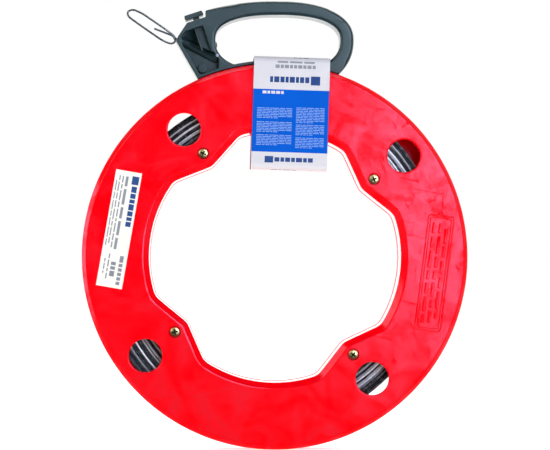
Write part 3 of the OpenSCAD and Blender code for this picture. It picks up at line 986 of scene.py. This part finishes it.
def make_label():
    """The paper sticker on the face, with bars where lines of print would be."""
    centre, tilt, width, height, thick = (-123, 21.3), -9.9, 20.6, 92.5, 0.14
    grey, navy = 1, 2
    bars = words(4.2, 8.4, 3, 35, (5, 4, 3, 5, 4, 3, 4), navy, 0.8, True) + [(3.4, 36.4, 8.8, 43, navy)]
    for x0, x1, z0, z1, lengths, gap in (
            (-1.6, 0.5, -16, 42, (7, 11, 8, 10, 8), 2.2),
            (-4.2, -3.2, -15, 42, (6, 4, 9, 5, 7, 3, 8, 6, 5), 1.2),
            (-6.7, -5.8, -12, 42, (4, 8, 5, 6, 9, 4, 7, 5), 1.2),
            (-8.8, -8.0, -14, 38, (8, 5, 7, 4, 6, 8, 5), 1.3),
            (4.6, 7.6, -43.5, -20.5, (6, 3, 3, 3, 3, 3), 1.0), (-1.6, 2.2, -37.5, -26, (3, 3, 5), 1.0),
            (-4.3, -3.3, -40, -20, (4, 6, 3, 5), 1.1), (-7.2, -6.3, -36, -24, (3, 5, 2), 1.1)):
        bars += words(x0, x1, z0, z1, lengths, grey, gap, True)
    across = cuts(bars, 0, -width / 2, width / 2, 2)
    along = cuts(bars, 1, -height / 2, height / 2, 2.5)

    def place(u, v):
        x, z = turn([(u, v)], tilt, centre)[0]
        corner = max(0.0, (u + v * 0.22 - 14.5) / 5)
        return (x, -HALF_W - thick / 2 - 0.02 - 0.45 * corner ** 2, z), (0, -1, 0)

    label = new_object("sticker", Shape().sheet(place, across, along, thick, printed(bars)))
    finish_piece(label, "reel", [WHITE_PAPER, GREY_INK, NAVY_INK], ["side_label"])


def make_sleeve():
    """The printed card sleeve, looped round the rim and the strip under the opening."""
    low, high = (1000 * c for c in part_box("card_sleeve"))
    centre = ((low[0] + high[0]) / 2, (low[2] + high[2]) / 2)
    half_w, half_h, half_d, fold, thick, tilt = 30, 45, high[1], 5, 0.5, -1.8
    flat, bend, top = 2 * (half_h - fold), math.pi / 2 * fold, 2 * (half_d - fold)
    around = 2 * flat + 2 * top + 4 * bend
    blue, navy, grey, pale = 1, 2, 3, 4

    bars = [(-31, -30.7, 31, 18.8, blue)]
    for x0, x1, z0, z1, lengths, mark, gap in (
            (1.2, 13.1, 44.4, 45.8, (3, 4, 5), grey, 0.9), (-11.4, 17.9, 39.8, 41.3, (5, 6, 5), grey, 1.3),
            (-13, 18.7, 35.7, 38.4, (4, 3, 4, 3, 3, 4, 3, 4, 3), grey, 0.8),
            (-17, 14, 24.4, 29, (3, 5, 4, 3, 5, 3, 4, 4), navy, 0.8), (15.2, 22.6, 22.8, 29.8, (1,), navy, 0),
            (-22.6, -5.9, 15.3, 17.5, (3, 2, 3, 3, 2), 0, 0.8), (-19.4, -12.6, -39.2, -34, (1,), navy, 0),
            (-11.6, 18.7, -38.2, -34.8, (4, 3, 4, 3, 5, 3, 4), navy, 0.8),
            (-14, 6, -46.4, -45.2, (4, 2, 5, 3), grey, 1.1)):
        bars += words(x0, x1, z0, z1, lengths, mark, gap)
    line_gap, line_h = 1.27, 0.55
    lengths = ((6, 3, 7, 4, 5), (4, 7, 3, 6, 4), (7, 4, 5, 3, 6), (3, 6, 5, 7, 3))
    for x0, x1, blocks in ((-26.5, 1.2, ((4.1, 7), (-6.9, 7), (-17.2, 7))),
                           (4.4, 26.8, ((4.9, 10), (-8.6, 7), (-18.8, 7)))):
        for top_z, rows in blocks:
            for row in range(rows):
                z = top_z - line_gap * row
                end = x1 if row < rows - 1 else x0 + 0.6 * (x1 - x0)
                bars += words(x0, end, z - line_h, z, lengths[row % 4], pale, 0.7)
    across = cuts(bars, 0, -half_w, half_w, 3)
    front = cuts(bars, 1, -bend, flat + bend, 1.2, half_h - fold)
    rest = [flat + bend + (around - flat - 2 * bend) * i / 90 for i in range(1, 90)]

    def on_loop(v):
        """Depth and height of the card at a length along the loop, and the direction outwards."""
        here, quarters = v % around, 0
        while here > (flat, top)[quarters % 2] + bend:
            here -= (flat, top)[quarters % 2] + bend
            quarters += 1
        side, off = (top, half_h) if quarters % 2 else (flat, half_d)
        a = max(0.0, here - side) / fold
        point = (off - fold + fold * math.cos(a), min(here, side) - side / 2 + fold * math.sin(a))
        return turn([point, (math.cos(a), math.sin(a))], 90 * quarters)

    def place(u, v):
        (f, z), (nf, nz) = on_loop(v)
        level = max(0.0, 1 - (z / half_h) ** 2)
        f -= math.copysign(level * (0.5 + 0.25 * math.cos(u / 9)), f) if abs(nf) > 0.5 else 0
        x, height = turn([(u, z - thick / 2 * nz)], tilt, centre)[0]
        return (x, -(f - thick / 2 * nf), height), (0, -nf, nz)

    front_at, back_blue = printed(bars), (around / 2 - 54, around / 2 + 38)

    def mark_at(u, v):
        v -= around if v > around - bend else 0
        if v < flat + bend:
            return front_at(u, v - half_h + fold)
        return blue if back_blue[0] < v < back_blue[1] else 0

    along = [v for v in front if v >= 0] + rest + [v + around for v in front if v < 0]
    shape = Shape().sheet(place, across, along, thick, mark_at, wraps=around)
    sleeve = new_object("sleeve", shape)
    finish_piece(sleeve, "handle", [WHITE_CARD, BLUE_CARD, NAVY_INK, GREY_INK, PALE_INK], ["card_sleeve"])


make_case()
make_screws()
make_coil()
make_handle_half("grip_front", 1, 7, "handle_front")
make_handle_half("grip_rear", -1, HALF_GRIP - 0.4, "handle_rear")
make_button()
make_drawn_tape()
make_label()
make_sleeve()

# --- CAD nodes that keep their shape ---

for nodes, finish in (
        (("anchor_clip", "anchor_screw", "guide_pin", "brake_pin", "brake_spring"), PLAIN_STEEL),
        (("handle_screws",), BLACK_STEEL), (("brake_pad",), PAD_RUBBER)):
    for node in nodes:
        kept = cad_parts[node]
        kept.data.materials.clear()
        kept.data.materials.append(finish)


# --- Stage, light and camera ---

def make_stage():
    """A wide white floor under the object."""
    reach, floor_z = 30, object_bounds()[0].z
    mesh = bpy.data.meshes.new("floor")
    corners = box_outline((-reach, -reach), (reach, reach))
    mesh.from_pydata([(x, y, floor_z) for x, y in corners], [], [(0, 1, 2, 3)])
    white = Finish("floor_white", Base_Color=(0.93, 0.93, 0.93, 1), Roughness=0.9, Specular_IOR_Level=0.1,
                   Emission_Color=(1, 1, 1, 1), Emission_Strength=0.6)
    mesh.materials.append(white.material)
    floor = new_object("floor", mesh)
    floor.visible_glossy = False


def aim(made, place, target):
    """Puts a light or a camera at a place, in metres, and points it at a target."""
    made.location = place
    made.rotation_euler = (Vector(target) - Vector(place)).to_track_quat("-Z", "Y").to_euler()


def softbox(name, place, target, size, radiance, colour=(1, 1, 1)):
    """A rectangular light whose face has a given brightness."""
    data = bpy.data.lights.new(name, "AREA")
    data.shape, data.size, data.size_y = "RECTANGLE", *size
    data.energy, data.color = radiance * math.pi * size[0] * size[1], colour
    aim(new_object(name, data), place, target)


def make_world():
    """White behind the object and dark on the viewer's side, where the glossy face would mirror it.
    Diffuse rays get 0.4 of it, and the camera sees plain white."""
    world = bpy.data.worlds.new("studio")
    bpy.context.scene.world = world
    world.use_nodes = True
    made = Nodes(world.node_tree)
    place = made.add("TexCoord").outputs["Generated"]
    behind = made.add("SeparateXYZ", {0: place}).outputs["Y"]
    ray = made.add("LightPath").outputs
    dimmed = made.math("SUBTRACT", 1.0, made.math("MULTIPLY", ray["Is Diffuse Ray"], 0.6))
    light = made.math("MULTIPLY", dimmed, made.spread(behind, 0.04, 0.4, 0.015, 2.2))
    seen = made.add("Mix", {"Factor": ray["Is Camera Ray"], "A": light, "B": 1.0}).outputs["Result"]
    background = made.tree.nodes["Background"]
    made.feed(background.inputs["Strength"], seen)
    made.feed(background.inputs["Color"], (1, 1, 1, 1))


def make_camera():
    """The photo's view: straight from the front, from slightly left of the reel's axis and below it."""
    data = bpy.data.cameras.new("camera")
    data.lens, data.sensor_width = 164.7, 36
    data.clip_start, data.clip_end = 0.05, 100
    camera = new_object("camera", data)
    aim(camera, (-0.067, -2.0, -0.02), (-0.0001, -0.014, 0.0248))
    bpy.context.scene.camera = camera


make_stage()
make_world()
make_camera()
# The face mirrors the glare and the left rim mirrors the left box; the other two light the whole.
softbox("glare", (0.95, -2.1, 0.65), (0.1, 0, 0.05), (1.64, 1.6), 5.5, (0.6, 0.72, 1.0))
softbox("left", (-2.4, 0.0, 0.1), (0, 0, 0), (0.7, 1.8), 3.0, (0.75, 0.8, 1.0))
softbox("key", (-2.0, -1.9, 1.2), (0, 0, 0), (1.8, 1.4), 2.6)
softbox("top", (0, 0.3, 2.0), (0, 0, 0), (1.6, 1.6), 2.5)
bpy.context.scene.view_settings.view_transform = "Standard"
